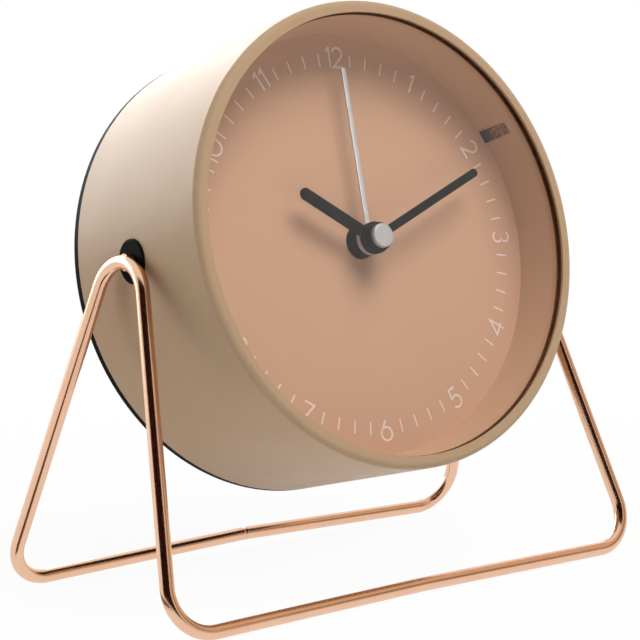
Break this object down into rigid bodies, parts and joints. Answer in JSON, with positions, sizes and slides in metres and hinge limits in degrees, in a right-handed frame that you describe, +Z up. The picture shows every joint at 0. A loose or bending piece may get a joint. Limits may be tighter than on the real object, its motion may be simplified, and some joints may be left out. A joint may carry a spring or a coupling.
{
  "type": "table alarm clock",
  "caption": "Round battery alarm clock: a painted metal drum with a recessed dial that tilts between the arms of a bent wire stand, with set knobs and a snooze bar on its back.",
  "frame": {"origin": "on the table, under the middle of the stand's four feet", "axes": "+X to the right as seen from the front, the dial faces -Y, +Z up"},
  "size_m": [0.1274, 0.0708, 0.1249],
  "materials": {
    "copper_wire": "polished copper plating on steel wire",
    "sand_paint": "matt sand-coloured paint",
    "clear_glass": "clear and flat",
    "black_rubber": "matt",
    "tan_plastic": "matt",
    "rose_dial": "matt print",
    "black_plastic": "fine satin texture",
    "dark_lens": "glossy smoked lens",
    "black_hand": "matt black paint",
    "silver_metal": "satin",
    "white_plastic": "moulded",
    "brass": "cut and polished",
    "steel": "plain",
    "green_board": "solder mask",
    "copper_winding": "enamelled wire",
    "battery_wrap": "plain printed wrap"
  },
  "bodies": {
    "stand": {"wire_stand": "copper_wire", "pivot_studs": "copper_wire", "friction_washers": "steel", "pivot_nuts": "steel"},
    "clock": {"pivot_bush_left": "black_plastic", "pivot_bush_right": "black_plastic", "case_drum": "sand_paint", "glass_gasket": "black_rubber", "front_glass": "clear_glass", "dial_ring": "tan_plastic", "dial_light": "dark_lens", "light_leads": "steel", "dial": "rose_dial", "chassis": "white_plastic", "movement_front_plate": "black_plastic", "movement_housing": "white_plastic", "movement_screws": "steel", "wheel_posts": "steel", "stator": "steel", "coil_bobbin": "black_plastic", "coil_winding": "copper_winding", "circuit_board": "green_board", "quartz_crystal": "silver_metal", "controller_chip": "black_plastic", "snooze_tact_switch": "black_plastic", "alarm_slide_switch": "steel", "buzzer": "black_plastic", "buzzer_leads": "black_rubber", "battery_cell": "battery_wrap", "battery_contact_plus": "steel", "battery_contact_minus": "steel", "battery_leads": "black_rubber", "rear_cover": "black_plastic", "cover_screws": "steel"},
    "minute": {"minute_arbor": "brass", "minute_hand": "black_hand", "hub_cap": "silver_metal"},
    "hour": {"hour_wheel": "brass", "hour_hand": "black_hand"},
    "alarm": {"alarm_wheel": "brass", "alarm_hand": "silver_metal"},
    "motion": {"motion_wheel": "white_plastic"},
    "time_set": {"time_shaft": "white_plastic", "time_knob": "black_plastic"},
    "alarm_set": {"alarm_shaft": "white_plastic", "alarm_knob": "black_plastic"},
    "centre": {"centre_wheel": "brass"},
    "third": {"third_wheel": "white_plastic"},
    "fourth": {"fourth_wheel": "white_plastic"},
    "fifth": {"fifth_wheel": "white_plastic"},
    "rotor": {"rotor_pinion": "white_plastic", "rotor_magnet": "steel"},
    "snooze": {"snooze_button": "black_plastic"},
    "alarm_switch": {"alarm_switch_slider": "black_plastic"},
    "door": {"battery_door": "black_plastic"}
  },
  "joints": [
    {"name": "body_tilt", "type": "hinge", "parent": "stand", "child": "clock", "pos_m": [0, -0.00125, 0.0724], "axis": [1, 0, 0], "continuous": true},
    {"name": "minute_spin", "type": "hinge", "parent": "clock", "child": "minute", "pos_m": [0, -0.00164, 0.0708], "axis": [0, 0.972, -0.2351], "continuous": true},
    {"name": "hour_spin", "type": "hinge", "parent": "clock", "child": "hour", "pos_m": [0, -0.00164, 0.0708], "axis": [0, 0.972, -0.2351], "continuous": true},
    {"name": "motion_spin", "type": "hinge", "parent": "clock", "child": "motion", "pos_m": [-0.0096, -0.00164, 0.0708], "axis": [0, 0.972, -0.2351], "continuous": true},
    {"name": "time_knob_spin", "type": "hinge", "parent": "clock", "child": "time_set", "pos_m": [-0.00622, -0.00405, 0.06082], "axis": [0, 0.972, -0.2351], "continuous": true},
    {"name": "alarm_spin", "type": "hinge", "parent": "clock", "child": "alarm", "pos_m": [0, -0.00164, 0.0708], "axis": [0, 0.972, -0.2351], "continuous": true},
    {"name": "alarm_knob_spin", "type": "hinge", "parent": "clock", "child": "alarm_set", "pos_m": [0.00622, -0.00405, 0.06082], "axis": [0, 0.972, -0.2351], "continuous": true},
    {"name": "fourth_spin", "type": "hinge", "parent": "clock", "child": "fourth", "pos_m": [0.00799, 0.00116, 0.08237], "axis": [0, 0.972, -0.2351], "continuous": true},
    {"name": "fifth_spin", "type": "hinge", "parent": "clock", "child": "fifth", "pos_m": [0.0092, 0.00278, 0.08907], "axis": [0, 0.972, -0.2351], "continuous": true},
    {"name": "rotor_spin", "type": "hinge", "parent": "clock", "child": "rotor", "pos_m": [0.00356, 0.00327, 0.09106], "axis": [0, 0.972, -0.2351], "continuous": true},
    {"name": "third_spin", "type": "hinge", "parent": "clock", "child": "third", "pos_m": [0, 0.00048, 0.07954], "axis": [0, 0.972, -0.2351], "continuous": true},
    {"name": "centre_spin", "type": "hinge", "parent": "clock", "child": "centre", "pos_m": [0, -0.00164, 0.0708], "axis": [0, 0.972, -0.2351], "continuous": true},
    {"name": "snooze_press", "type": "slide", "parent": "clock", "child": "snooze", "axis": [0, -0.972, 0.2351], "range_m": [0, 0.0008], "stiffness_N_per_m": 800},
    {"name": "alarm_switch_slide", "type": "slide", "parent": "clock", "child": "alarm_switch", "axis": [0, 0.2351, 0.972], "range_m": [0, 0.004]},
    {"name": "battery_door_off", "type": "slide", "parent": "clock", "child": "door", "axis": [0, 0.972, -0.2351], "range_m": [0, 0.02]}
  ],
  "couplings": [
    {"joint": "hour_spin", "follows": "minute_spin", "ratio": 0.083333},
    {"joint": "motion_spin", "follows": "minute_spin", "ratio": -0.33333},
    {"joint": "time_knob_spin", "follows": "minute_spin", "ratio": 0.66667},
    {"joint": "alarm_knob_spin", "follows": "alarm_spin", "ratio": -2},
    {"joint": "fifth_spin", "follows": "fourth_spin", "ratio": -6},
    {"joint": "rotor_spin", "follows": "fourth_spin", "ratio": 30},
    {"joint": "third_spin", "follows": "fourth_spin", "ratio": -0.13333},
    {"joint": "centre_spin", "follows": "fourth_spin", "ratio": 0.016667}
  ]
}
